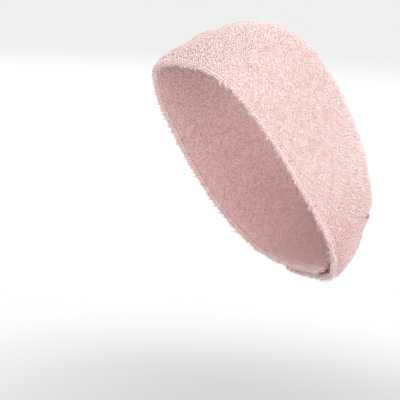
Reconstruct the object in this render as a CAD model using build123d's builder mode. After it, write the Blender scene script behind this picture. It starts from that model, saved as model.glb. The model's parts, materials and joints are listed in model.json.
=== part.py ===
from build123d import *
import os
from math import copysign, cos, degrees, radians, sin

# Spa headband: a two-layer terry band with overlocked edges that loops over the crown,
# behind the ears and round the nape, where a hook end laps over a loop end.
# The frame is the head's: -Y to the face, +X to the wearer's left, +Z up,
# with the origin at the middle of the head.  Millimetres and degrees.

# ---- the loop ----
LOOP_TILT = 56  # slope of the loop's plane, high at the crown and low at the nape
LOOP_CENTRE = Vector(0, 10, 5)
LOOP_HALF_LENGTH = 115  # middle to crown, and middle to nape
LOOP_HALF_WIDTH = 78  # middle to either side
LOOP_SQUARENESS = 2.7  # superellipse exponent: 2 would be an ellipse

# ---- the band's section, as (over the crown, at the sides, at the nape) ----
HALF_WIDTH = (44, 45, 31)  # edge to middle, along the cloth
LEAN = (-10, -13, -20)  # tip of the section out of the loop's axis
BARREL_RADIUS = (108, 122, 62)  # curve of the cloth across its width
REAR_SHIFT = (0, 3.5, 0)  # shift of the band's middle along the loop's axis

# ---- cloth ----
TERRY = 2.2  # thickness of one layer of terry
LAYER_GAP = 0.2  # air between the two layers
BAND_THICKNESS = 2 * TERRY + LAYER_GAP
SEAM_WIDTH = 2.4  # overlocked edge, along the cloth
SEAM_THICKNESS = 5.2  # overlocked edge, through both layers
SEAM_GAP = 0.1
SEAM_OFFSET = SEAM_GAP + SEAM_WIDTH / 2  # from the cloth's edge to the middle of the seam

# ---- where the band bends, as angles round the loop: 0 at the crown, 180 at the nape ----
TAIL_HINGE = 123  # both tails bend here, behind the ears
TAB_HINGE = 160  # the hook tab peels back from here
END_ANGLE = 200  # both ends run this far round, 20 past the middle of the nape
BEND_GAP = 0.2
LAP_START, LAP_FULL = 138, 158  # the tails part over this stretch, one out and one in
CLOSURE_SPACE = 4.6  # between the hook end's lining and the loop end's outer face
LAP_LIFT = (BAND_THICKNESS + CLOSURE_SPACE) / 2

# ---- closure ----
PATCH_THICKNESS = 1.4
PATCH_HALF_SPAN = 0.74  # part of the half width that a patch covers
HOOK_PATCH = (166, 195)
LOOP_PATCH = (158, 195)
STITCH = 3.0
STITCH_WIDTH = 0.8
STITCH_HEIGHT = 0.4
STITCH_STEP = 3.2  # angle from one stitch to the next
STITCHES_ACROSS = 9  # spaces between the stitches along a patch's end
STITCH_INSET = 0.08  # part of the half width between a patch's edge and its stitching
STITCH_END_INSET = 1.6  # angle between a patch's end and its stitching

# ---- care label, held by the front seam inside the hook tail ----
LABEL_THICKNESS = 0.5
LABEL_SPAN = (137, 143)
LABEL_ACROSS = (-1, -0.42)

# ---- directions ----
TO_CROWN = Vector(0, -cos(radians(LOOP_TILT)), sin(radians(LOOP_TILT)))
TO_LEFT = Vector(1, 0, 0)
TO_REAR = Vector(0, sin(radians(LOOP_TILT)), cos(radians(LOOP_TILT)))

HOOK, LOOP = 1, -1  # side of the head: the hook tail is on the left
LINING_FACE = -BAND_THICKNESS
OUTER_LAYER = (-TERRY, 0)
INNER_LAYER = (LINING_FACE, LINING_FACE + TERRY)


def around(values, angle):
    """Value at an angle round the loop, from its crown, side and nape values."""
    crown, side, nape = values
    swing = ((crown + nape) / 2 - side) / 2
    turn = radians(angle)
    return side + swing + (crown - nape) / 2 * cos(turn) + swing * cos(2 * turn)


def lap_lift(angle):
    """How far the cloth stands off the loop's surface: hook side out, loop side in."""
    part = min(max((abs(angle) - LAP_START) / (LAP_FULL - LAP_START), 0), 1)
    return LAP_LIFT * part * part * (3 - 2 * part) * (1 if angle > 0 else -1)


def barrel_radius(angle):
    return around(BARREL_RADIUS, angle) + lap_lift(angle)


def signed_power(value, exponent):
    return copysign(abs(value) ** exponent, value)


def band_plane(angle):
    """Plane of the band's section: x along its width to the rear edge, y outward."""
    c, s = cos(radians(angle)), sin(radians(angle))
    reach = (abs(c) ** LOOP_SQUARENESS + abs(s) ** LOOP_SQUARENESS) ** (-1 / LOOP_SQUARENESS)
    place = LOOP_CENTRE + TO_CROWN * (LOOP_HALF_LENGTH * reach * c)
    place += TO_LEFT * (LOOP_HALF_WIDTH * reach * s) + TO_REAR * around(REAR_SHIFT, angle)
    outward = TO_CROWN * (signed_power(c, LOOP_SQUARENESS - 1) / LOOP_HALF_LENGTH)
    outward += TO_LEFT * (signed_power(s, LOOP_SQUARENESS - 1) / LOOP_HALF_WIDTH)
    outward = outward.normalized()
    lean = radians(around(LEAN, angle))
    along = TO_REAR * cos(lean) + outward * sin(lean)
    normal = outward * cos(lean) - TO_REAR * sin(lean)
    return Plane(place + normal * lap_lift(angle), x_dir=along, z_dir=along.cross(normal))


def cloth_half_width(angle):
    return around(HALF_WIDTH, angle) - SEAM_WIDTH


def spread(angle, part):
    """Angle on the barrel curve of a place across the width: -1 front edge, 1 rear edge."""
    return degrees(part * cloth_half_width(angle) / barrel_radius(angle))


def cloth_plane(angle, part, height):
    """Plane on the cloth: x round the loop, y across the band, z outward."""
    section = band_plane(angle)
    radius = barrel_radius(angle)
    tip = radians(spread(angle, part))
    reach = radius + height
    place = section.from_local_coords(Vector(reach * sin(tip), reach * cos(tip) - radius, 0))
    normal = section.x_dir * sin(tip) + section.y_dir * cos(tip)
    return Plane(place, x_dir=section.z_dir, z_dir=normal)


def stations(start, end, step=9):
    """Evenly spaced angles from start to end, no further apart than step."""
    count = int(abs(end - start) / step) + 1
    return [start + (end - start) * i / count for i in range(count + 1)]


def layer_profile(angle, layer, low=-1, high=1):
    """Section of a layer of cloth: a thin curved strip between two heights."""
    radius = barrel_radius(angle)
    first, last = spread(angle, low), spread(angle, high)
    with BuildSketch(band_plane(angle)) as profile:
        with BuildLine():
            under = CenterArc((0, -radius), radius + layer[0], 90 - last, last - first)
            over = CenterArc((0, -radius), radius + layer[1], 90 - last, last - first)
            Line(under @ 0, over @ 0)
            Line(under @ 1, over @ 1)
        make_face()
    return profile.sketch


def seam_profile(angle, edge):
    """Section of the overlocked edge, beside both layers: edge -1 is front, 1 is rear."""
    radius = barrel_radius(angle)
    reach = radius - BAND_THICKNESS / 2
    tip = spread(angle, edge) + edge * degrees(SEAM_OFFSET / reach)
    place = (reach * sin(radians(tip)), reach * cos(radians(tip)) - radius)
    with BuildSketch(band_plane(angle)) as profile:
        with Locations(Location(place, -tip)):
            SlotOverall(SEAM_THICKNESS, SEAM_WIDTH, rotation=90)
    return profile.sketch


def end_seam_path(angle):
    """Arc across the end of a tail, past the cloth and through the middle of both layers."""
    radius = barrel_radius(angle)
    tip = spread(angle, 1)
    beyond = copysign(SEAM_OFFSET, angle)
    with BuildLine(band_plane(angle).offset(beyond)) as path:
        CenterArc((0, -radius), radius - BAND_THICKNESS / 2, 90 - tip, 2 * tip)
    return path.line


def stitch_places(side, patch):
    """Where the stitches of a patch's box lie: angle, place across, and turn."""
    start, end = (side * angle for angle in patch)
    inset = side * STITCH_END_INSET
    line = PATCH_HALF_SPAN - STITCH_INSET
    places = [(angle, part, 0) for angle in stations(start + inset, end - inset, STITCH_STEP)[1:-1]
              for part in (-line, line)]
    across = [line * (2 * i / STITCHES_ACROSS - 1) for i in range(1, STITCHES_ACROSS)]
    places += [(angle, part, 90) for angle in (start + inset, end - inset) for part in across]
    return places


# ---- crown: the root of the part, over the head from ear to ear ----
CROWN = stations(-TAIL_HINGE + BEND_GAP, TAIL_HINGE - BEND_GAP)

with BuildPart() as crown_outer_panel:
    for angle in CROWN:
        add(layer_profile(angle, OUTER_LAYER))
    loft()

with BuildPart() as crown_lining:
    for angle in CROWN:
        add(layer_profile(angle, INNER_LAYER))
    loft()

with BuildPart() as crown_front_seam:
    for angle in CROWN:
        add(seam_profile(angle, -1))
    loft()

with BuildPart() as crown_rear_seam:
    for angle in CROWN:
        add(seam_profile(angle, 1))
    loft()

# ---- hook tail: from behind the left ear to the nape ----
HOOK_TAIL = stations(TAIL_HINGE + BEND_GAP, TAB_HINGE - BEND_GAP, 4)

with BuildPart() as hook_tail_outer_panel:
    for angle in HOOK_TAIL:
        add(layer_profile(angle, OUTER_LAYER))
    loft()

with BuildPart() as hook_tail_lining:
    for angle in HOOK_TAIL:
        add(layer_profile(angle, INNER_LAYER))
    loft()

with BuildPart() as hook_tail_front_seam:
    for angle in HOOK_TAIL:
        add(seam_profile(angle, -1))
    loft()

with BuildPart() as hook_tail_rear_seam:
    for angle in HOOK_TAIL:
        add(seam_profile(angle, 1))
    loft()

with BuildPart() as care_label:
    face = LINING_FACE - LAYER_GAP
    for angle in stations(*LABEL_SPAN, 2):
        add(layer_profile(angle, (face - LABEL_THICKNESS, face), *LABEL_ACROSS))
    loft()

# ---- hook tab: the end that laps outside and peels off ----
HOOK_TAB = stations(TAB_HINGE + BEND_GAP, END_ANGLE, 6)

with BuildPart() as hook_tab_outer_panel:
    for angle in HOOK_TAB:
        add(layer_profile(angle, OUTER_LAYER))
    loft()

with BuildPart() as hook_tab_lining:
    for angle in HOOK_TAB:
        add(layer_profile(angle, INNER_LAYER))
    loft()

with BuildPart() as hook_tab_front_seam:
    for angle in HOOK_TAB:
        add(seam_profile(angle, -1))
    loft()

with BuildPart() as hook_tab_rear_seam:
    for angle in HOOK_TAB:
        add(seam_profile(angle, 1))
    loft()

with BuildPart() as hook_tab_end_seam:
    end_path = end_seam_path(END_ANGLE)
    with BuildSketch(Plane(end_path @ 0, z_dir=end_path % 0)):
        Circle(SEAM_WIDTH / 2)
    sweep(path=end_path)

with BuildPart() as hook_patch:
    face = LINING_FACE - LAYER_GAP
    for angle in stations(*HOOK_PATCH, 6):
        add(layer_profile(angle, (face - PATCH_THICKNESS, face), -PATCH_HALF_SPAN, PATCH_HALF_SPAN))
    loft()

with BuildPart() as hook_patch_stitching:
    for angle, part, turn in stitch_places(HOOK, HOOK_PATCH):
        with BuildSketch(cloth_plane(angle, part, LINING_FACE - 2 * LAYER_GAP - PATCH_THICKNESS)):
            SlotOverall(STITCH, STITCH_WIDTH, rotation=turn)
        extrude(amount=-STITCH_HEIGHT)

# ---- loop tail: from behind the right ear, under the hook tab ----
LOOP_TAIL = stations(-TAIL_HINGE - BEND_GAP, -END_ANGLE, 4)

with BuildPart() as loop_tail_outer_panel:
    for angle in LOOP_TAIL:
        add(layer_profile(angle, OUTER_LAYER))
    loft()

with BuildPart() as loop_tail_lining:
    for angle in LOOP_TAIL:
        add(layer_profile(angle, INNER_LAYER))
    loft()

with BuildPart() as loop_tail_front_seam:
    for angle in LOOP_TAIL:
        add(seam_profile(angle, -1))
    loft()

with BuildPart() as loop_tail_rear_seam:
    for angle in LOOP_TAIL:
        add(seam_profile(angle, 1))
    loft()

with BuildPart() as loop_tail_end_seam:
    end_path = end_seam_path(-END_ANGLE)
    with BuildSketch(Plane(end_path @ 0, z_dir=end_path % 0)):
        Circle(SEAM_WIDTH / 2)
    sweep(path=end_path)

with BuildPart() as loop_patch:
    for angle in stations(-LOOP_PATCH[0], -LOOP_PATCH[1], 6):
        face = LAYER_GAP + PATCH_THICKNESS
        add(layer_profile(angle, (LAYER_GAP, face), -PATCH_HALF_SPAN, PATCH_HALF_SPAN))
    loft()

with BuildPart() as loop_patch_stitching:
    for angle, part, turn in stitch_places(LOOP, LOOP_PATCH):
        with BuildSketch(cloth_plane(angle, part, PATCH_THICKNESS + 2 * LAYER_GAP)):
            SlotOverall(STITCH, STITCH_WIDTH, rotation=turn)
        extrude(amount=STITCH_HEIGHT)

PARTS = {
    "crown_outer_panel": crown_outer_panel,
    "crown_lining": crown_lining,
    "crown_front_seam": crown_front_seam,
    "crown_rear_seam": crown_rear_seam,
    "hook_tail_outer_panel": hook_tail_outer_panel,
    "hook_tail_lining": hook_tail_lining,
    "hook_tail_front_seam": hook_tail_front_seam,
    "hook_tail_rear_seam": hook_tail_rear_seam,
    "care_label": care_label,
    "hook_tab_outer_panel": hook_tab_outer_panel,
    "hook_tab_lining": hook_tab_lining,
    "hook_tab_front_seam": hook_tab_front_seam,
    "hook_tab_rear_seam": hook_tab_rear_seam,
    "hook_tab_end_seam": hook_tab_end_seam,
    "hook_patch": hook_patch,
    "hook_patch_stitching": hook_patch_stitching,
    "loop_tail_outer_panel": loop_tail_outer_panel,
    "loop_tail_lining": loop_tail_lining,
    "loop_tail_front_seam": loop_tail_front_seam,
    "loop_tail_rear_seam": loop_tail_rear_seam,
    "loop_tail_end_seam": loop_tail_end_seam,
    "loop_patch": loop_patch,
    "loop_patch_stitching": loop_patch_stitching,
}

os.makedirs("parts", exist_ok=True)
for name, piece in PARTS.items():
    piece.part.label = name
    export_step(piece.part, f"parts/{name}.step")
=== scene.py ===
import json
import math

import bpy
import numpy as np
from mathutils import Matrix, Vector


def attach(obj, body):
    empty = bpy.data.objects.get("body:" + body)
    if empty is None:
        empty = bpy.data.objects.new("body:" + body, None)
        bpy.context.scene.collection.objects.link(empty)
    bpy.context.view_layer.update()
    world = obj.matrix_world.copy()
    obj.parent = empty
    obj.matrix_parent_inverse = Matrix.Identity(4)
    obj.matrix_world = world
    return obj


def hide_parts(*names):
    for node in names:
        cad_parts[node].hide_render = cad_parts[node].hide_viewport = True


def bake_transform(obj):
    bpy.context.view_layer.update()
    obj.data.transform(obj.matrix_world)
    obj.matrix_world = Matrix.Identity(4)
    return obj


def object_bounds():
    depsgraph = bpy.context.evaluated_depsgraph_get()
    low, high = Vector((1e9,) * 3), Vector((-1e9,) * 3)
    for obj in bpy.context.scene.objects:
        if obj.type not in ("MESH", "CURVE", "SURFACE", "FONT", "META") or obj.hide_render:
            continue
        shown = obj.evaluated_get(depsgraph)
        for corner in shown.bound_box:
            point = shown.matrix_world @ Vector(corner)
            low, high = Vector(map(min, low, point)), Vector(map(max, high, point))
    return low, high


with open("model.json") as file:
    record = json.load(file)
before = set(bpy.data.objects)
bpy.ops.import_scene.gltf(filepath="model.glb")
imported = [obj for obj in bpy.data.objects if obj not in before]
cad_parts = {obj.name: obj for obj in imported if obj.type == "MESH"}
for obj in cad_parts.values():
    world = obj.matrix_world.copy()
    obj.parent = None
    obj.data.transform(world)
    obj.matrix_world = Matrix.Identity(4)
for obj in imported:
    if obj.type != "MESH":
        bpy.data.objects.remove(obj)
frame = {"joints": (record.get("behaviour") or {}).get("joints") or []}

cad_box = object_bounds()
rng = np.random.default_rng(21)
MM = 0.001

# The cloth's surface is the CAD's: the same loop, section and lap, in millimetres and degrees.
LOOP_TILT = 56
LOOP_CENTRE = np.array((0, 10, 5))
LOOP_HALF_LENGTH, LOOP_HALF_WIDTH, LOOP_SQUARENESS = 115, 78, 2.7
HALF_WIDTH = (44, 45, 31)  # over the crown, at the sides, at the nape
LEAN = (-10, -13, -20)
BARREL_RADIUS = (108, 122, 62)
REAR_SHIFT = (0, 3.5, 0)
SEAM_WIDTH = 2.4
CLOTH = 4.6  # both layers of terry
LAP_START, LAP_FULL, LAP_LIFT = 138, 158, 4.6
TAIL_HINGE, TAB_HINGE, END_ANGLE = 123, 160, 200
CORNER_START, CORNER_DROP, CORNER_ROUND = 197, 7, 0.9  # the corners of the ends are rounded off
TAB_CUT = 150  # where the tail's cloth and the tab's meet, on the hook tail

# The parts of the visual model: the angles that each runs between, and the CAD's lengths it covers
PARTS = {"left": (0, TAB_CUT), "right": (0, -END_ANGLE), "tab": (TAB_CUT, END_ANGLE)}
LENGTHS = {"left": ["crown", "hook_tail"], "right": ["crown", "loop_tail"], "tab": ["hook_tab"]}

tilt = math.radians(LOOP_TILT)
TO_CROWN = np.array((0, -math.cos(tilt), math.sin(tilt)))
TO_LEFT = np.array((1.0, 0, 0))
TO_REAR = np.array((0, math.sin(tilt), math.cos(tilt)))


# ---- the cloth's shape ----
def around(values, angle):
    """Value at angles round the loop, from its crown, side and nape values."""
    crown, side, nape = values
    swing = ((crown + nape) / 2 - side) / 2
    turn = np.radians(angle)
    return side + swing + (crown - nape) / 2 * np.cos(turn) + swing * np.cos(2 * turn)


def smooth(t):
    t = np.clip(t, 0, 1)
    return t * t * (3 - 2 * t)


def signed_power(value, exponent):
    return np.sign(value) * np.abs(value) ** exponent


def lap_lift(angle):
    """The hook side stands out and the loop side in, where the ends overlap."""
    part = smooth((np.abs(angle) - LAP_START) / (LAP_FULL - LAP_START))
    return LAP_LIFT * part * np.sign(angle)


def half_width(angle):
    """Half the width of the cloth inside its seams, with the corners of its two ends rounded."""
    turn = np.clip((np.abs(angle) - CORNER_START) / (END_ANGLE - CORNER_START), 0, 1) * CORNER_ROUND
    return around(HALF_WIDTH, angle) - SEAM_WIDTH - CORNER_DROP * (1 - np.sqrt(1 - turn ** 2))


def bump(value, centre, spread):
    return np.exp(-(((value - centre) / spread) ** 2))


# Ripples of the worn cloth: height in millimetres, then their rate round the loop, their slant
# across it and where they start, in degrees of the wave
RIPPLES = ((0.45, 5.1, 40, 0), (0.35, 8.3, -95, 70), (0.25, 13.7, 160, 20))

# Soft dents and swells of the worn cloth: angle, place across, rise outward in millimetres,
# and how far each spreads round the loop and across
DENTS = (
    (-31, -0.95, 3.0, 15, 0.34), (-25, -0.25, -2.6, 12, 0.24), (-20, 0.46, -4.2, 15, 0.26),
    (12, 0.8, -1.0, 12, 0.4), (142, 0.95, 4.4, 4.5, 0.4), (150, -0.6, -1.5, 9, 0.5),
)

# The fold behind the left ear: where it meets the rear edge, how far it slants, in degrees,
# its depth and width there, and how far the tail tucks in below it
CREASE_ANGLE, CREASE_SLANT = 136, 9
CREASE_DEPTH, CREASE_SPREAD, TUCK = 6.6, 2.1, 4.4


def crease_line(angle, across):
    """Degrees past the fold behind the left ear, which runs down from the rear edge."""
    return angle - (CREASE_ANGLE - CREASE_SLANT * (0.9 - across))


def crease(angle, across):
    """1 along the bottom of that fold, fading away half way down the cloth."""
    return bump(crease_line(angle, across), 0, CREASE_SPREAD) * smooth(across + 0.25)


def drape(angle, across):
    """Soft unevenness of the worn cloth, outward in millimetres; across is -1 to 1."""
    wave = 0
    for rise, rate, slant, start in RIPPLES:
        wave = wave + rise * np.sin(np.radians(angle * rate + slant * across + start))
    wave *= 1 - smooth((np.abs(angle) - 140) / 15)  # the lapped ends lie flat
    for place, level, rise, far, wide in DENTS:
        wave += rise * bump(angle, place, far) * bump(across, level, wide)
    below = crease_line(angle, across)
    tuck = smooth((below + 4.5) / 8) * smooth(across + 0.9) * (1 - smooth((angle - 146) / 12))
    return wave - TUCK * tuck - CREASE_DEPTH * crease(angle, across)


def section(angle):
    """Place, width direction and outward direction of the band's section at each angle."""
    turn = np.radians(angle)
    cos, sin = np.cos(turn), np.sin(turn)
    reach = np.abs(cos) ** LOOP_SQUARENESS + np.abs(sin) ** LOOP_SQUARENESS
    reach = reach ** (-1 / LOOP_SQUARENESS)
    place = LOOP_CENTRE + np.outer(LOOP_HALF_LENGTH * reach * cos, TO_CROWN)
    place = place + np.outer(LOOP_HALF_WIDTH * reach * sin, TO_LEFT)
    place = place + np.outer(around(REAR_SHIFT, angle), TO_REAR)
    power = LOOP_SQUARENESS - 1
    outward = np.outer(signed_power(cos, power) / LOOP_HALF_LENGTH, TO_CROWN)
    outward = outward + np.outer(signed_power(sin, power) / LOOP_HALF_WIDTH, TO_LEFT)
    outward /= np.linalg.norm(outward, axis=1, keepdims=True)
    lean = np.radians(around(LEAN, angle))[:, None]
    along = TO_REAR * np.cos(lean) + outward * np.sin(lean)
    normal = outward * np.cos(lean) - TO_REAR * np.sin(lean)
    return place + normal * lap_lift(angle)[:, None], along, normal


def on_cloth(angle, offset, height):
    """Points in millimetres: angle round the loop, offset from the middle along the width,
    and height above the outer face.  Also the width and outward directions there."""
    angle, offset, height = np.broadcast_arrays(
        np.asarray(angle, float), np.asarray(offset, float), np.asarray(height, float))
    shape = angle.shape
    angle, offset, height = angle.ravel(), offset.ravel(), height.ravel()
    place, along, normal = section(angle)
    radius = around(BARREL_RADIUS, angle) + lap_lift(angle)
    tip = (offset / radius)[:, None]
    outward = along * np.sin(tip) + normal * np.cos(tip)
    across = along * np.cos(tip) - normal * np.sin(tip)
    lift = height + drape(angle, offset / half_width(angle))
    point = place - normal * radius[:, None] + outward * (radius + lift)[:, None]
    return tuple(v.reshape(shape + (3,)) for v in (point, across, outward))


# The needle's line: how far inside the edge, how wide and how deep
NEEDLE_INSET, NEEDLE_SPREAD, NEEDLE_PRESS = 1.5, 0.7, 0.7
PILLOW_WIDTH = 8  # the faces draw in over this width beside a seam


def needle_line(angle, offset):
    """1 in the stitched line just inside the front edge, fading away towards the crown."""
    inside = offset + half_width(angle) - NEEDLE_INSET
    return bump(inside, 0, NEEDLE_SPREAD) * smooth((np.abs(angle) - 35) / 40)


def pillow(angle, offset):
    """How far the faces draw in towards the seams, in millimetres."""
    margin = np.clip(half_width(angle) - np.abs(offset), 0, PILLOW_WIDTH)
    return (1 - margin / PILLOW_WIDTH) ** 2 + NEEDLE_PRESS * needle_line(angle, offset)


# ---- mesh building ----
def make_piece(name, points, quads, materials, shades=None):
    """A smooth-shaded mesh object from points in millimetres and quads.  shades gives each
    quad's material by its place in materials."""
    mesh = bpy.data.meshes.new(name)
    points = np.asarray(points, np.float32).reshape(-1, 3) * MM
    quads = np.asarray(quads, np.int32).reshape(-1, 4)
    mesh.vertices.add(len(points))
    mesh.vertices.foreach_set("co", points.ravel())
    mesh.loops.add(quads.size)
    mesh.loops.foreach_set("vertex_index", quads.ravel())
    mesh.polygons.add(len(quads))
    mesh.polygons.foreach_set("loop_start", np.arange(0, quads.size, 4, dtype=np.int32))
    mesh.polygons.foreach_set("use_smooth", np.full(len(quads), True))
    for material in materials:
        mesh.materials.append(material)
    if shades is not None:
        mesh.polygons.foreach_set("material_index", np.asarray(shades, np.int32))
    mesh.update(calc_edges=True)
    mesh.validate()
    piece = bpy.data.objects.new(name, mesh)
    bpy.context.scene.collection.objects.link(piece)
    return piece


def ring_quads(rows, around_count, closed=True):
    """Quads joining rows of around_count points each."""
    i = np.arange(rows - 1)[:, None]
    steps = around_count if closed else around_count - 1
    j = np.arange(steps)[None, :]
    k = (j + 1) % around_count
    a, b = i * around_count + j, i * around_count + k
    return np.stack([a, b, b + around_count, a + around_count], -1).reshape(-1, 4)


def cap_quads(count):
    """Quads that close a ring of an even number of points."""
    j = np.arange(count // 2 - 1)
    return np.stack([j, j + 1, count - 2 - j, count - 1 - j], -1)


def tube_quads(rows, count):
    """A closed tube: its rings, and a cap at each end."""
    cap = cap_quads(count)
    return np.concatenate([ring_quads(rows, count), cap[:, ::-1], cap + (rows - 1) * count])


def at_height(height):
    """A flat face for a slab."""
    return lambda angle, offset: np.full_like(offset, height)


def slab(name, angles, reach, bottom, top, material, columns=60):
    """A closed layer of cloth with rounded sides, out to a share of the cloth's half width.
    bottom and top give its two heights at an angle and offset."""
    angles = np.asarray(angles, float)[:, None]
    side = reach * half_width(angles)
    turn = np.linspace(-math.pi / 2, math.pi / 2, columns)  # the columns crowd towards the sides
    share = np.clip(0.5 + 0.53 * np.sin(turn) * np.abs(np.sin(turn)) ** 0.15, 0, 1)
    offset = -side + 2 * side * share
    up, down = top(angles, offset), bottom(angles, offset)
    middle, half = (up + down) / 2, (up - down) / 2
    margin = side - np.abs(offset) + 0.02
    half = half * np.sqrt(np.clip(1 - (1 - np.clip(margin / half, 0, 1)) ** 2, 0, 1))
    offsets = np.concatenate([offset, offset[:, ::-1]], 1)
    heights = np.concatenate([middle + half, (middle - half)[:, ::-1]], 1)
    points, _, _ = on_cloth(angles, offsets, heights)
    quads = tube_quads(len(angles), 2 * columns)
    turned = angles[-1, 0] < angles[0, 0]  # the rows run the other way round the loop
    return make_piece(name, points, quads[:, ::-1] if turned else quads, [material])


def yarns(path, reference, radius, sides=3):
    """Tubes along many short paths: path is (yarns, steps, 3), reference a direction per yarn
    that its path doesn't follow, and radius is (yarns, steps) or a number."""
    along = np.gradient(path, axis=1)
    along /= np.linalg.norm(along, axis=2, keepdims=True) + 1e-9
    first = np.broadcast_to(reference[:, None, :], path.shape)
    first = first - along * np.sum(first * along, 2, keepdims=True)
    first /= np.linalg.norm(first, axis=2, keepdims=True) + 1e-9
    second = np.cross(along, first)
    count, steps, _ = path.shape
    turn = np.arange(sides) * 2 * math.pi / sides
    radius = np.broadcast_to(radius, (count, steps))[:, :, None, None]
    ring = first[:, :, None, :] * np.cos(turn)[:, None] + second[:, :, None, :] * np.sin(turn)[:, None]
    points = path[:, :, None, :] + ring * radius
    quads = ring_quads(steps, sides)[None] + (np.arange(count) * steps * sides)[:, None, None]
    return points.reshape(-1, 3), quads.reshape(-1, 4), len(quads[0])


# ---- materials ----
def principled(name, colour, roughness=0.9, sheen=0.0):
    """A matt surface of one colour, with a pale sheen as fibres have."""
    material = bpy.data.materials.new(name)
    material.use_nodes = True
    shader = material.node_tree.nodes["Principled BSDF"]
    shader.inputs["Base Color"].default_value = (*colour, 1)
    shader.inputs["Roughness"].default_value = roughness
    shader.inputs["Specular IOR Level"].default_value = 0.25
    shader.inputs["Sheen Weight"].default_value = sheen
    shader.inputs["Sheen Roughness"].default_value = 0.5
    shader.inputs["Sheen Tint"].default_value = (1.0, 0.93, 0.92, 1)
    return material


def woven(name, dark, light, scale, roughness=0.85, strength=0.4):
    """A knitted or woven ground: a fine mottle of two tones, raised where it is light."""
    material = principled(name, light, roughness, 0.3)
    nodes, links = material.node_tree.nodes, material.node_tree.links
    shader = nodes["Principled BSDF"]
    coordinates = nodes.new("ShaderNodeTexCoord")
    noise = nodes.new("ShaderNodeTexNoise")
    noise.inputs["Scale"].default_value = scale
    noise.inputs["Detail"].default_value = 6
    ramp = nodes.new("ShaderNodeValToRGB")
    for stop, position, tone in zip(ramp.color_ramp.elements, (0.32, 0.68), (dark, light)):
        stop.position, stop.color = position, (*tone, 1)
    relief = nodes.new("ShaderNodeBump")
    relief.inputs["Strength"].default_value = strength
    relief.inputs["Distance"].default_value = 0.0004
    links.new(coordinates.outputs["Object"], noise.inputs["Vector"])
    links.new(noise.outputs["Fac"], ramp.inputs["Fac"])
    links.new(noise.outputs["Fac"], relief.inputs["Height"])
    links.new(ramp.outputs["Color"], shader.inputs["Base Color"])
    links.new(relief.outputs["Normal"], shader.inputs["Normal"])
    return material


cloth_ground = woven("terry_ground", (0.84, 0.58, 0.56), (0.90, 0.70, 0.68), 700)
lining_ground = woven("lining_ground", (0.76, 0.44, 0.43), (0.86, 0.59, 0.57), 700)
PILE_TONES = (  # the first is painted shade, for the pile in the fold and along the stitching
    (0.56, 0.29, 0.29),
    (0.83, 0.605, 0.59),
    (0.87, 0.69, 0.67),
    (0.89, 0.73, 0.71),
    (0.91, 0.77, 0.75),
)
pile_tones = [principled(f"pile_{i}", tone, 0.95, 0.12) for i, tone in enumerate(PILE_TONES)]
THREAD_TONES = ((0.91, 0.69, 0.68), (0.94, 0.77, 0.75))
thread_tones = [principled(f"thread_{i}", tone, 0.6, 0.25) for i, tone in enumerate(THREAD_TONES)]
hook_nylon = principled("hook_nylon", (0.86, 0.60, 0.61), 0.4)
LOOP_TONES = ((0.84, 0.57, 0.58), (0.92, 0.70, 0.70))
loop_tones = [principled(f"loop_nylon_{i}", tone, 0.6, 0.3) for i, tone in enumerate(LOOP_TONES)]
tape_ground = woven("tape_ground", (0.66, 0.38, 0.40), (0.84, 0.56, 0.57), 1500, 0.6)
ribbon = woven("label_ribbon", (0.80, 0.78, 0.75), (0.92, 0.91, 0.88), 1800, 0.35, 0.2)
PILE_SINK = 0.6  # how far the ground lies under the CAD's face, to leave the pile its height


# ---- places on the cloth ----
JITTER = 0.42  # how far a place strays from its row, as a share of the pitch


def spaced_angles(start, end, pitch):
    """Angles from start to end, pitch millimetres apart along the middle of the cloth."""
    fine = np.linspace(start, end, 2000)
    place, _, _ = section(fine)
    run = np.concatenate([[0], np.cumsum(np.linalg.norm(np.diff(place, axis=0), axis=1))])
    return np.interp(np.arange(pitch / 2, run[-1], pitch), run, fine)


def field(start, end, pitch, reach=1.0):
    """Jittered rows of places on the cloth between two angles, out to a share of its half width."""
    angles = spaced_angles(start, end, pitch)
    widest = half_width(angles).max()
    angle, offset = np.meshgrid(angles, np.arange(-widest, widest, pitch), indexing="ij")
    step = np.abs(angles[1] - angles[0])
    offset = offset + np.where(np.arange(len(angles)) % 2, pitch / 2, 0)[:, None]
    angle = angle + rng.uniform(-JITTER, JITTER, angle.shape) * step
    offset = offset + rng.uniform(-JITTER, JITTER, angle.shape) * pitch
    keep = np.abs(offset) < half_width(angle) * reach
    return angle[keep], offset[keep]


def edge_places(part, edge, pitch):
    """Places along an edge of a part of the band: angle, offset, and the way out of the cloth
    as shares of the directions across it and round the loop."""
    start, end = PARTS[part]
    if edge == "end":
        half = float(half_width(end)) + SEAM_WIDTH / 2
        offset = np.arange(-half, half, pitch)
        return np.full(len(offset), float(end)), offset, (0, math.copysign(1, end))
    side = -1 if edge == "front" else 1
    angle = spaced_angles(start, end, pitch)
    return angle, side * half_width(angle), (side, 0)


def rim(angle, offset, outwards):
    """Middle of the cloth's thickness at its edge, with the ways out, up and along."""
    point, across, up = on_cloth(angle, offset, -CLOTH / 2)
    out = across * outwards[0] + np.cross(across, up) * outwards[1]
    return point, out, up, np.cross(up, out)


# ---- pile ----
DEGREE = 1.95  # millimetres round the loop in a degree, on average
TONE_STEPS = (-0.55, 0.1, 0.75)  # where one tone of the pile gives way to the next lighter one
# Wavelengths of what is uneven in the pile, each round the loop and across, in millimetres
TONE_WAVES = ((31, 22), (17, -13))
HEIGHT_WAVES = ((4.9, 6.7), (7.3, -4.6))
LEAN_ACROSS_WAVES = ((6.3, 9.1), (4.4, -5.6))
LEAN_ROUND_WAVES = ((9.7, -5.9), (5.1, 4.3))
TUFT_WAVES = ((3.7, 9), (2.3, 7), (8.9, 11))


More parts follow.
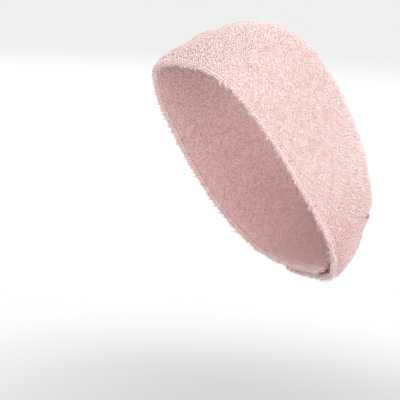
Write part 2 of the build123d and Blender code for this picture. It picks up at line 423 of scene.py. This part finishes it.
def waves(angle, offset, lengths, phase):
    """Uneven ripples from -1 to 1, of some wavelengths (round the loop, across) in millimetres."""
    run = angle * DEGREE
    drift = 1.4 * np.sin(run / 4.1 + offset / 3.3 + phase) + 1.1 * np.sin(offset / 5.7 - run / 7.9)
    total = 0
    for i, (round_loop, across) in enumerate(lengths, 1):
        turns = run / round_loop + offset / across
        total = total + np.sin(2 * math.pi * turns + drift + phase * i)
    return total / len(lengths)


def loops(name, base, up, across, tall, lean, thickness, materials, shades, steps=5, stance=(0.38, 0.7)):
    """Loops of yarn that stand at their base places.  lean is how far each top goes over,
    along across and along the third direction, thickness the least and greatest radius of the
    yarn, and stance the least and greatest distance of a foot from the base place."""
    forward = np.cross(across, up)
    spin = rng.normal(0, 0.8, len(base))[:, None]
    span = across * np.cos(spin) + forward * np.sin(spin)
    top = up * tall[:, None] + across * lean[0][:, None] + forward * lean[1][:, None]
    foot = rng.uniform(*stance, len(base))[:, None, None]
    turn = np.linspace(0, math.pi, steps)
    path = base[:, None] - span[:, None] * foot * np.cos(turn)[:, None]
    path = path + top[:, None] * (np.sin(turn) ** 0.75)[:, None]
    radius = rng.uniform(*thickness, len(base))[:, None] * (0.8 + 0.3 * np.sin(turn))
    points, quads, per = yarns(path, np.cross(span, up), radius)
    return make_piece(name, points, quads, materials, np.repeat(shades, per))


def tones(angle, offset):
    """Which tone of yarn stands where: patches of each, broken up at random, and the darkest tone
    as painted shade in the fold and along the needle's line."""
    value = 0.8 * waves(angle, offset, TONE_WAVES, 2.0) + rng.normal(0, 0.42, angle.shape)
    value = value - 1.3 * smooth((np.abs(angle) - 100) / 30)  # painted shade: the tails' tones are a little darker
    share = offset / half_width(angle)
    edge = smooth(2 * share - 1)  # the shadowed cloth of the fold widens towards the rear edge
    # painted shade: the darkest tone in the hollow of the fold and along the needle's line
    painted_shade = bump(crease_line(angle, share), 1.2 + 3 * edge, 2.2 + 2 * edge) * smooth(share + 0.15)
    painted_shade = painted_shade + 0.75 * needle_line(angle, offset)
    # flat marks where the painted shade tone goes
    flat = painted_shade + rng.normal(0, 0.12, angle.shape) > 0.5
    return np.where(flat, 0, 1 + np.digitize(value, TONE_STEPS))


def terry(name, start, end, face, pitch, height, thickness, covers=(), steps=5):
    """Terry loops over one face of the cloth.  face is 1 outside, -1 on the lining, and covers
    are the stretches where a patch or label lies on it instead: angles, then shares across."""
    angle, offset = field(start, end, pitch)
    keep = rng.random(len(angle)) > 0.85 * needle_line(angle, offset)
    share = offset / half_width(angle)
    for first, last, low, high in covers:
        keep &= (angle < first) | (angle > last) | (share < low) | (share > high)
    angle, offset = angle[keep], offset[keep]
    sink = pillow(angle, offset)
    ground = -sink if face > 0 else -CLOTH + sink
    base, across, outward = on_cloth(angle, offset, ground - face * PILE_SINK)
    rise = 1 + 0.2 * waves(angle, offset, HEIGHT_WAVES, 0.7)
    rise = rise * (0.72 + 0.28 * smooth((np.abs(angle) - 90) / 40))  # longer at the tails
    count = len(angle)
    tall = rng.uniform(*height, count) * rise * (1 - 0.55 * needle_line(angle, offset))
    lean = (
        0.85 * waves(angle, offset, LEAN_ACROSS_WAVES, 0) + rng.normal(-0.15, 0.3, count),
        0.85 * waves(angle, offset, LEAN_ROUND_WAVES, 1.9) + rng.normal(0.1, 0.3, count),
    )
    shades = tones(angle, offset)
    return loops(name, base, outward * face, across, tall, lean, thickness, pile_tones, shades, steps)


# ---- edges ----
BEAD_OUT, BEAD_UP = 1.1, 1.7  # half sizes of the rolled edge
BEAD_PITCH, BEAD_SIDES = 0.65, 20
OVERLOCK_PITCH, EDGE_PILE_PITCH, TUFT_PITCH = 2.6, 0.29, 0.34
STITCH_OUT, STITCH_UP, STITCH_IN = 1.75, 2.75, 2.6  # how far a stitch reaches round the rolled edge
CHAIN_OUT, THREAD_RADIUS = 2.75, 0.27


def bead(name, part, edge):
    """The rolled edge under the overlock thread, drawn in a little at each stitch."""
    angle, offset, outwards = edge_places(part, edge, BEAD_PITCH)
    if edge != "end":
        start, end = PARTS[part]
        angle = np.concatenate([[start], angle, [end]])
        offset = half_width(angle) * outwards[0]
    point, out, up, _ = rim(angle, offset, outwards)
    run = np.arange(len(angle)) * BEAD_PITCH
    draw = (1 + 0.06 * np.cos(2 * math.pi * run / OVERLOCK_PITCH))[:, None, None]
    turn = np.linspace(0, 2 * math.pi, BEAD_SIDES, endpoint=False)[None, :, None]
    ring = out[:, None] * (BEAD_OUT * (0.95 + np.cos(turn) * draw))
    ring = ring + up[:, None] * (BEAD_UP * np.sin(turn) * draw)
    return make_piece(name, point[:, None] + ring, tube_quads(len(angle), BEAD_SIDES), [cloth_ground])


def edge_pile(name, part, edge):
    """Pile that wraps over the rolled edge, between the overlock stitches."""
    angle, offset, outwards = edge_places(part, edge, EDGE_PILE_PITCH)
    point, out, up, along = rim(angle, offset, outwards)
    turn = rng.uniform(-1.5, 1.5, len(angle))[:, None]
    base = point + out * BEAD_OUT * (0.8 + np.cos(turn)) + up * BEAD_UP * 0.9 * np.sin(turn)
    facing = out * np.cos(turn) + up * np.sin(turn)
    tall = rng.uniform(0.7, 1.5, len(angle)) * (1 + 0.3 * waves(angle, offset, HEIGHT_WAVES[:1], 0.7))
    lean = rng.normal(0, 0.45, (2, len(angle)))
    return loops(name, base, facing, along, tall, lean, (0.3, 0.42), pile_tones, tones(angle, offset))


def overlock(name, part, edge):
    """Overlock stitches over the edge, each a slanting turn of thread from needle hole to needle
    hole, with the chain that links them along the edge and the needle thread's line."""
    angle, offset, outwards = edge_places(part, edge, OVERLOCK_PITCH)
    point, out, up, along = (v[:, None] for v in rim(angle, offset, outwards))
    share = np.linspace(-1, 1, 13)
    wrap = 1.8  # the thread has turned round the edge by 1 / wrap of its run, and then lies flat
    turn = np.clip(share * wrap, -1, 1) * math.pi / 2
    inward = np.clip(np.abs(share) * wrap - 1, 0, 1) / (wrap - 1)
    outer = (BEAD_OUT + STITCH_OUT * np.cos(turn) - STITCH_IN * inward)[:, None]
    height = (STITCH_UP * np.sin(turn) - np.sign(share) * 0.7 * inward ** 3)[:, None]
    slant = rng.uniform(0.75, 1.1, (len(angle), 1, 1)) * share[:, None] * OVERLOCK_PITCH / 2
    turns = point + out * outer + up * height + along * slant
    link = np.linspace(-1.1, 1.1, 13)
    swing = (0.75 * np.sin(link * math.pi))[:, None]
    chain = point + out * (CHAIN_OUT + 0.25 * np.cos(link * math.pi))[:, None] + up * swing
    chain = chain + along * (link * OVERLOCK_PITCH / 2)[:, None]
    dip = (2.6 - 0.9 * link ** 4)[:, None]  # the needle thread goes down at both ends of a stitch
    needle = point - out * NEEDLE_INSET + along * (link * OVERLOCK_PITCH / 2.3)[:, None]
    paths = np.concatenate([turns, chain, needle + up * dip, needle - up * dip])
    reference = np.concatenate([along[:, 0], out[:, 0], out[:, 0], out[:, 0]])
    points, quads, per = yarns(paths, reference, THREAD_RADIUS, 5)
    shades = np.repeat(rng.integers(0, 2, len(paths)), per)
    return make_piece(name, points, quads, thread_tones, shades)


def tufts(name, part, edge, length):
    """Cut ends of yarn that stick out of the edge in ragged tufts, with bare places between."""
    angle, offset, outwards = edge_places(part, edge, TUFT_PITCH)
    point, out, up, along = rim(angle, offset, outwards)
    lock = waves(angle + offset / DEGREE, np.zeros(len(angle)), TUFT_WAVES, 1.3)  # tufts come in locks
    keep = rng.random(len(angle)) < 0.56 + 0.7 * lock
    point, out, up, along, lock = (v[keep] for v in (point, out, up, along, lock))
    count = len(point)
    turn = rng.normal(0.25, 0.75, count)[:, None]
    base = point + out * (1.3 + 0.5 * np.cos(turn)) + up * 1.5 * np.sin(turn)
    facing = out * np.cos(turn * 0.8) + up * np.sin(turn * 0.8)
    tall = (rng.uniform(*length, count) * (0.85 + 0.9 * lock))[:, None, None]
    sway = along * (rng.normal(0, 0.45, (count, 1)) + 0.8 * lock[:, None] - 0.25)
    share = np.linspace(0, 1, 5)[:, None]
    path = base[:, None] + facing[:, None] * tall * share + sway[:, None] * tall * share ** 1.6
    radius = rng.uniform(0.38, 0.6, (count, 1)) * (1 - 0.6 * share[:, 0] ** 2)
    points, quads, per = yarns(path, along, radius)
    shades = np.repeat(1 + rng.choice(4, count, p=(0.1, 0.25, 0.35, 0.3)), per)
    return make_piece(name, points, quads, pile_tones, shades)


# ---- closure ----
CLOTH_STEP = 0.7  # degrees between the rows of a layer of cloth
PATCH_SHARE = 0.74  # how much of the cloth's width a patch covers
HOOK_PATCH, LOOP_PATCH = (166, 195), (-195, -158)
TAPE = 0.7  # thickness of a patch's backing
TAPE_GAP = 0.2  # between the backing and the CAD's face
HOOK_CURL, HOOK_RADIUS = 0.27, 0.1
LABEL_SPAN, LABEL_ACROSS = (137, 143), (-1, -0.42)
LABEL_DEPTH = 6.0  # how far the folded label lies under the outer face
LABEL_LEAF, LABEL_HALF_THICK = 0.42, 0.13  # half the distance of its two leaves, and of one's faces
LABEL_COLUMNS = 20


def patch_tape(name, span, low):
    """The backing of a patch; low is the height of its lower face."""
    angles = np.arange(span[0], span[1] + 0.1, CLOTH_STEP)
    return slab(name, angles, PATCH_SHARE, at_height(low), at_height(low + TAPE), tape_ground, 40)


def hooks(name, span, height):
    """Rows of nylon hooks, which point down from the lining and curl over at the tip."""
    angle, offset = field(span[0] + 1, span[1] - 1, 1.35, PATCH_SHARE * 0.96)
    base, across, outward = on_cloth(angle, offset, height)
    forward = np.cross(across, outward)
    side = np.where(rng.random(len(angle)) < 0.5, -1, 1)[:, None]
    curl = (across * 0.25 + forward) * side
    arc = np.radians(np.linspace(0, 205, 6))
    over = np.concatenate([[0, 0], HOOK_CURL * (1 - np.cos(arc))])[:, None]
    out = np.concatenate([[0, 0.3], 0.6 + HOOK_CURL * np.sin(arc)])[:, None]
    path = base[:, None] - outward[:, None] * out + curl[:, None] * over
    points, quads, _ = yarns(path, across, HOOK_RADIUS, 4)
    return make_piece(name, points, quads, [hook_nylon])


def fuzz(name, span, height):
    """The soft loops of the other patch, brushed into a fine tangle."""
    angle, offset = field(*span, 0.85, PATCH_SHARE * 0.98)
    base, across, outward = on_cloth(angle, offset, height)
    count = len(angle)
    tall = rng.uniform(0.5, 1.05, count)
    lean = rng.normal(0, 0.5, (2, count))
    shades = rng.integers(0, 2, count)
    return loops(name, base, outward, across, tall, lean, (0.075, 0.11), loop_tones, shades, 6, (0.2, 0.6))


def stitching(name, span, height, face):
    """A box of stitches that holds a patch: each a short run of thread that dips at both ends."""
    inset = 1.6  # degrees inside the patch's ends
    line = PATCH_SHARE - 0.08
    along = np.linspace(span[0] + inset, span[1] - inset, 13)
    level = np.linspace(-line, line, 11)
    places = [(a, s, 0) for a in (along[1:] + along[:-1]) / 2 for s in (-line, line)]
    places += [(a, s, 1) for a in (along[0], along[-1]) for s in (level[1:] + level[:-1]) / 2]
    angle, share, crossing = (np.array(v, float) for v in zip(*places))
    base, across, outward = on_cloth(angle, share * half_width(angle), height)
    forward = np.cross(across, outward)
    run = np.where(crossing[:, None] > 0, across, forward)
    t = np.linspace(-1, 1, 9)
    path = base[:, None] + run[:, None] * (1.35 * t)[:, None]
    path = path + face * outward[:, None] * (0.35 - 0.6 * t ** 4)[:, None]
    points, quads, _ = yarns(path, np.cross(run, outward), 0.26, 6)
    return make_piece(name, points, quads, [thread_tones[1]])


def care_label(name):
    """A blank satin ribbon, folded double, that hangs from the front seam over the lining."""
    middle = sum(LABEL_SPAN) / 2
    half = float(half_width(middle))
    reach = half * (LABEL_ACROSS[1] - LABEL_ACROSS[0])  # the length of one leaf
    share = np.linspace(0, 1, 26)
    fold = np.radians(np.linspace(90, -90, 9))[1:-1]
    leg = share * reach
    hang = 0.25 * np.sin(share * math.pi) - 0.9 * share ** 2  # the free end stands off the pile
    offset = np.concatenate([leg, reach + LABEL_LEAF * np.cos(fold), leg[::-1]]) - half
    round_fold = hang[-1] + LABEL_LEAF * np.sin(fold)
    height = np.concatenate([hang + LABEL_LEAF, round_fold, hang[::-1] - LABEL_LEAF]) - LABEL_DEPTH
    profile = np.stack([offset, height], -1)
    step = np.gradient(profile, axis=0)
    side = np.stack([-step[:, 1], step[:, 0]], -1) / np.linalg.norm(step, axis=1, keepdims=True)
    skin = LABEL_HALF_THICK * side
    rows = np.concatenate([profile + skin, (profile - skin)[::-1]])
    angle = np.linspace(*LABEL_SPAN, LABEL_COLUMNS)[:, None]
    curve = 0.2 * np.sin(np.linspace(0, 3, LABEL_COLUMNS))[:, None]
    points, _, _ = on_cloth(angle, rows[:, 0], rows[:, 1] + curve)
    return make_piece(name, points, tube_quads(LABEL_COLUMNS, len(rows)), [ribbon]), reach


# ---- pieces on their bodies ----
TAIL_BEND, TAB_BEND = (16, 18), (11, 8)  # how far a bend reaches before and after its hinge line


def hinge_window(name, angle, before, after):
    """Start and end of the bend at a hinge, in millimetres either side of its line."""
    place = Vector(next(joint for joint in frame["joints"] if joint["name"] == name)["pos_m"])
    _, along, normal = section(np.array([angle], float))
    forward = Vector(np.cross(along[0], normal[0])) * (1 if angle > 0 else -1)
    return place - forward * before * MM, place + forward * after * MM


WINDOWS = {
    "left": ("crown_band", "hook_tail", *hinge_window("hook_tail_open", TAIL_HINGE, *TAIL_BEND)),
    "right": ("crown_band", "loop_tail", *hinge_window("loop_tail_open", -TAIL_HINGE, *TAIL_BEND)),
    "tab": ("hook_tail", "hook_tab", *hinge_window("hook_tab_peel", TAB_HINGE, *TAB_BEND)),
}


def settle(piece, part, slot, *nodes):
    """The piece's place is baked into its mesh, and it may stand for some CAD nodes, which it hides."""
    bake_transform(piece)
    if nodes:
        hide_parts(*nodes)


# ---- cloth: two layers in three parts ----
OUTER_BACK, LINING_BACK = -2.2, -2.4  # heights of the faces where the two layers lie together


def outer_height(angle, offset):
    """Height of the outer panel's ground, under its pile."""
    return -pillow(angle, offset) - PILE_SINK


def lining_height(angle, offset):
    """Height of the lining's ground, under its pile."""
    return -CLOTH + pillow(angle, offset) + PILE_SINK


# Each layer's lower and upper face, its material and its slot
FACES = {
    "outer_panel": (at_height(OUTER_BACK), outer_height, cloth_ground, "terry_face"),
    "lining": (lining_height, at_height(LINING_BACK), lining_ground, "terry_lining"),
}


def cloth(part, start, end):
    """Both layers of one part of the band."""
    angles = np.linspace(start, end, int(abs(end - start) / CLOTH_STEP))
    flat_length = abs(np.sum(np.linalg.norm(np.diff(section(angles)[0], axis=0), axis=1)))
    for face, (bottom, top, material, slot) in FACES.items():
        piece = slab(f"{part}_{face}", angles, 1, bottom, top, material)
        settle(piece, part, slot, *[f"{name}_{face}" for name in LENGTHS[part]])


for part, (start, end) in PARTS.items():
    cloth(part, start, end)

# The pile is made in stretches, so that no piece has too many faces
STRETCHES = {
    "left": (0, 50, 100, TAB_CUT),
    "right": (0, -50, -100, -150, -END_ANGLE),
    "tab": (TAB_CUT, END_ANGLE),
}
# Terry on each face: pitch of the loops, then the least and greatest height and yarn radius
OUTER_PILE = (1.42, (1.5, 2.4), (0.4, 0.54))
LINING_PILE = (1.75, (0.9, 1.5), (0.3, 0.42))
# Where something else lies on the cloth: angles, then shares across
HOOK_COVER = (*HOOK_PATCH, -PATCH_SHARE, PATCH_SHARE)
LOOP_COVER = (*LOOP_PATCH, -PATCH_SHARE, PATCH_SHARE)
LABEL_COVER = (*LABEL_SPAN, *LABEL_ACROSS)
for part, marks in STRETCHES.items():
    for i, (start, end) in enumerate(zip(marks, marks[1:])):
        outer = terry(f"{part}_pile_{i}", start, end, 1, *OUTER_PILE, [LOOP_COVER])
        settle(outer, part, "terry_face")
        covers = [HOOK_COVER, LABEL_COVER]
        inner = terry(f"{part}_lining_pile_{i}", start, end, -1, *LINING_PILE, covers, 4)
        settle(inner, part, "terry_lining")

TUFT_LENGTH = {"front": (1.2, 3.2), "rear": (0.9, 2.4), "end": (0.8, 2.0)}
EDGES = {"left": ("front", "rear"), "right": ("front", "rear", "end"), "tab": ("front", "rear", "end")}
for part, edges in EDGES.items():
    for edge in edges:
        lengths = LENGTHS[part][-1:] if edge == "end" else LENGTHS[part]
        names = [f"{name}_{edge}_seam" for name in lengths]
        settle(bead(f"{part}_{edge}_roll", part, edge), part, "terry_face", *names)
        settle(edge_pile(f"{part}_{edge}_pile", part, edge), part, "terry_face")
        settle(overlock(f"{part}_{edge}_overlock", part, edge), part, "overlock_thread")
        settle(tufts(f"{part}_{edge}_tufts", part, edge, TUFT_LENGTH[edge]), part, "terry_face")

# The hook tape lies under the tab's lining, and the loop tape on the loop tail's outer face
hook_low, loop_top = -CLOTH - TAPE_GAP - TAPE, TAPE_GAP + TAPE
settle(patch_tape("hook_tape_backing", HOOK_PATCH, hook_low), "tab", "hook_tape", "hook_patch")
settle(hooks("hook_tape_hooks", HOOK_PATCH, hook_low), "tab", "hook_tape")
hook_stitches = stitching("hook_tape_stitches", HOOK_PATCH, hook_low, -1)
settle(hook_stitches, "tab", "sewing_thread", "hook_patch_stitching")
settle(patch_tape("loop_tape_backing", LOOP_PATCH, TAPE_GAP), "right", "loop_tape", "loop_patch")
settle(fuzz("loop_tape_fuzz", LOOP_PATCH, loop_top), "right", "loop_tape")
loop_stitches = stitching("loop_tape_stitches", LOOP_PATCH, loop_top, 1)
settle(loop_stitches, "right", "sewing_thread", "loop_patch_stitching")

label, label_reach = care_label("satin_label")
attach(label, "hook_tail")
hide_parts("care_label")

# ---- floor, light and camera ----
VIEW_AZIMUTH, VIEW_ELEVATION, VIEW_ROLL = 54.5, 7.8, -2.6
VIEW_DISTANCE, LENS = 1.6, 168.5
VIEW_CENTRE = (-0.0553, -0.0422)  # what the lens points at, right of and above the origin
FLOOR, FLOOR_REACH = cad_box[0].z - 0.12, 60
FLOOR_SHADE, FLOOR_GLOW = 0.36, 0.56
SHADOW_POOL = (0, 0.55)  # the floor's glow grows over this distance from below the band, leaving a painted shadow pool under it
WORLD, KEY, BACK = 0.84, 41, 70


def place_camera():
    """A camera ahead of the band and to its left, a little above it, with a slight roll."""
    azimuth, elevation, roll = (math.radians(v) for v in (VIEW_AZIMUTH, VIEW_ELEVATION, VIEW_ROLL))
    flat = math.cos(elevation)
    back = Vector((math.sin(azimuth) * flat, -math.cos(azimuth) * flat, math.sin(elevation)))
    level = Vector((math.cos(azimuth), math.sin(azimuth), 0))
    upright = back.cross(level)
    right = level * math.cos(roll) - upright * math.sin(roll)
    up = level * math.sin(roll) + upright * math.cos(roll)
    camera = bpy.data.objects.new("camera", bpy.data.cameras.new("camera"))
    bpy.context.scene.collection.objects.link(camera)
    camera.data.lens, camera.data.sensor_width = LENS, 36
    camera.data.clip_end = 200
    camera.matrix_world = Matrix((right, up, back)).transposed().to_4x4()
    camera.location = right * VIEW_CENTRE[0] + up * VIEW_CENTRE[1] + back * VIEW_DISTANCE
    bpy.context.scene.camera = camera
    bpy.context.scene.view_settings.view_transform = "Standard"  # plain studio white stays white


def floor_paint():
    """A pale floor that glows, as if lit from far around, but not under the band, where the missing glow
    is a painted shadow pool.
    """
    material = principled("floor_paint", (FLOOR_SHADE, FLOOR_SHADE, FLOOR_SHADE), 0.9)
    nodes, links = material.node_tree.nodes, material.node_tree.links
    shader = nodes["Principled BSDF"]
    shader.inputs["Emission Color"].default_value = (1, 1, 1, 1)
    shader.inputs["Specular IOR Level"].default_value = 0  # no glare towards the horizon
    coordinates = nodes.new("ShaderNodeTexCoord")
    distance = nodes.new("ShaderNodeVectorMath")
    distance.operation = "LENGTH"
    fade = nodes.new("ShaderNodeMapRange")
    fade.interpolation_type = "SMOOTHSTEP"
    fade.inputs["From Min"].default_value, fade.inputs["From Max"].default_value = SHADOW_POOL
    fade.inputs["To Min"].default_value, fade.inputs["To Max"].default_value = 0, FLOOR_GLOW
    links.new(coordinates.outputs["Object"], distance.inputs[0])
    links.new(distance.outputs["Value"], fade.inputs["Value"])
    links.new(fade.outputs["Result"], shader.inputs["Emission Strength"])
    return material


def lay_floor():
    mesh = bpy.data.meshes.new("floor")
    square = ((-1, -1), (1, -1), (1, 1), (-1, 1))
    corners = [(x * FLOOR_REACH, y * FLOOR_REACH, FLOOR) for x, y in square]
    mesh.from_pydata(corners, [], [(0, 1, 2, 3)])
    mesh.materials.append(floor_paint())
    floor = bpy.data.objects.new("floor", mesh)
    bpy.context.scene.collection.objects.link(floor)


def light_world():
    world = bpy.data.worlds.new("studio")
    bpy.context.scene.world = world
    world.use_nodes = True
    background = world.node_tree.nodes["Background"]
    background.inputs["Color"].default_value = (1, 1, 1, 1)
    background.inputs["Strength"].default_value = WORLD


def area_light(name, place, size, power):
    """A soft square light that points at the origin."""
    light = bpy.data.lights.new(name, "AREA")
    light.size, light.energy = size, power
    lamp = bpy.data.objects.new(name, light)
    lamp.location = place
    lamp.rotation_euler = (-Vector(place)).to_track_quat("-Z", "Y").to_euler()
    bpy.context.scene.collection.objects.link(lamp)


place_camera()
lay_floor()
light_world()
area_light("key", (1.95, -0.6, 0.95), 1.9, KEY)
area_light("back", (-3.4, 1.6, 2.4), 2.2, BACK)
